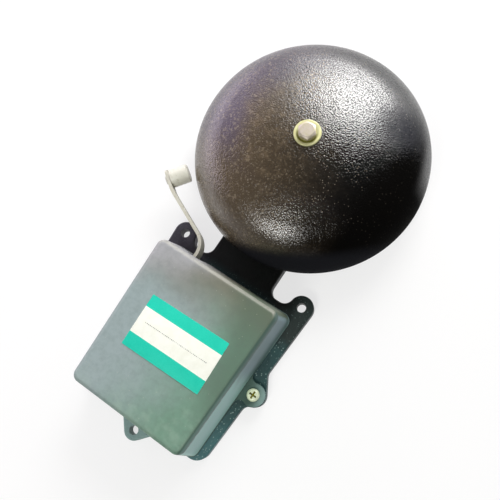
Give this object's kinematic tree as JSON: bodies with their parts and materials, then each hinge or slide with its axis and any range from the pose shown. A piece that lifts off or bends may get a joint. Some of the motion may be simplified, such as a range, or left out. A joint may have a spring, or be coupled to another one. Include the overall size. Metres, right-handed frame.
{
  "type": "electric bell",
  "caption": "Mains bell for a wall: a dished gong on a cast base, struck by a sprung hammer that a coil under a moulded cover drives.",
  "frame": {"origin": "midway between the two upper fixing holes, on the plane of the back", "axes": "+X to the right and +Y towards the gong, seen from the front; +Z out of the wall"},
  "size_m": [0.15, 0.2865, 0.0666],
  "materials": {
    "base_paint": "rough casting under dark green-black enamel",
    "gong_enamel": "black stippled enamel, glossy",
    "cover_moulding": "satin moulding, dark grey-green",
    "turned_steel": "turned, oiled",
    "bright_bolt": "bright zinc plate",
    "yellow_zinc": "yellow-passivated zinc plate",
    "fibre": "vulcanised fibre, red-brown",
    "label_print": "laminated print, teal bands, no lettering",
    "lamination_steel": "blued electrical sheet",
    "bobbin_moulding": "natural glass-filled nylon",
    "copper_wire": "enamelled copper, close wound",
    "coil_tape": "yellow varnished tape",
    "lead_sleeving": "soft red insulation",
    "plated_steel": "nickel plate, slightly dulled",
    "spring_steel": "blue-grey strip, polished edges",
    "soft_rubber": "black, matt",
    "phenolic": "dark brown phenolic moulding",
    "terminal_brass": "plain brass"
  },
  "bodies": {
    "root": {"base_casting": "base_paint", "gong_post": "turned_steel", "post_screw": "yellow_zinc", "gong_seat_washer": "fibre", "gong": "gong_enamel", "gong_washer": "yellow_zinc", "gong_spring_washer": "yellow_zinc", "gong_bolt": "bright_bolt", "cover": "cover_moulding", "cover_screws": "yellow_zinc", "label": "label_print", "core_laminations": "lamination_steel", "core_screws": "yellow_zinc", "coil_bobbin": "bobbin_moulding", "coil_winding": "copper_wire", "coil_wrap": "coil_tape", "coil_lead_a": "lead_sleeving", "coil_lead_b": "lead_sleeving", "leaf_spring": "spring_steel", "leaf_post": "turned_steel", "leaf_post_screws": "yellow_zinc", "leaf_clamp": "turned_steel", "leaf_clamp_screws": "yellow_zinc", "stop_bracket": "plated_steel", "stop_bracket_screw": "yellow_zinc", "stop_screw": "turned_steel", "stop_pad": "soft_rubber", "stop_nut": "turned_steel", "terminal_block": "phenolic", "terminal_plates": "terminal_brass", "terminal_screws": "terminal_brass", "block_screws": "yellow_zinc", "cable_grommet": "soft_rubber", "earth_screw": "terminal_brass", "earth_washer": "terminal_brass"},
    "hammer": {"armature": "plated_steel", "armature_rivets": "turned_steel", "hammer_arm": "plated_steel", "clapper": "plated_steel"}
  },
  "joints": [
    {"name": "hammer_swing", "type": "hinge", "parent": "root", "child": "hammer", "pos_m": [-0.0227, -0.08645, 0.0269], "axis": [0, 0, -1], "range_deg": [-0.6, 1.4], "stiffness_Nm_per_rad": 7.2, "deforming": ["leaf_spring"]}
  ]
}
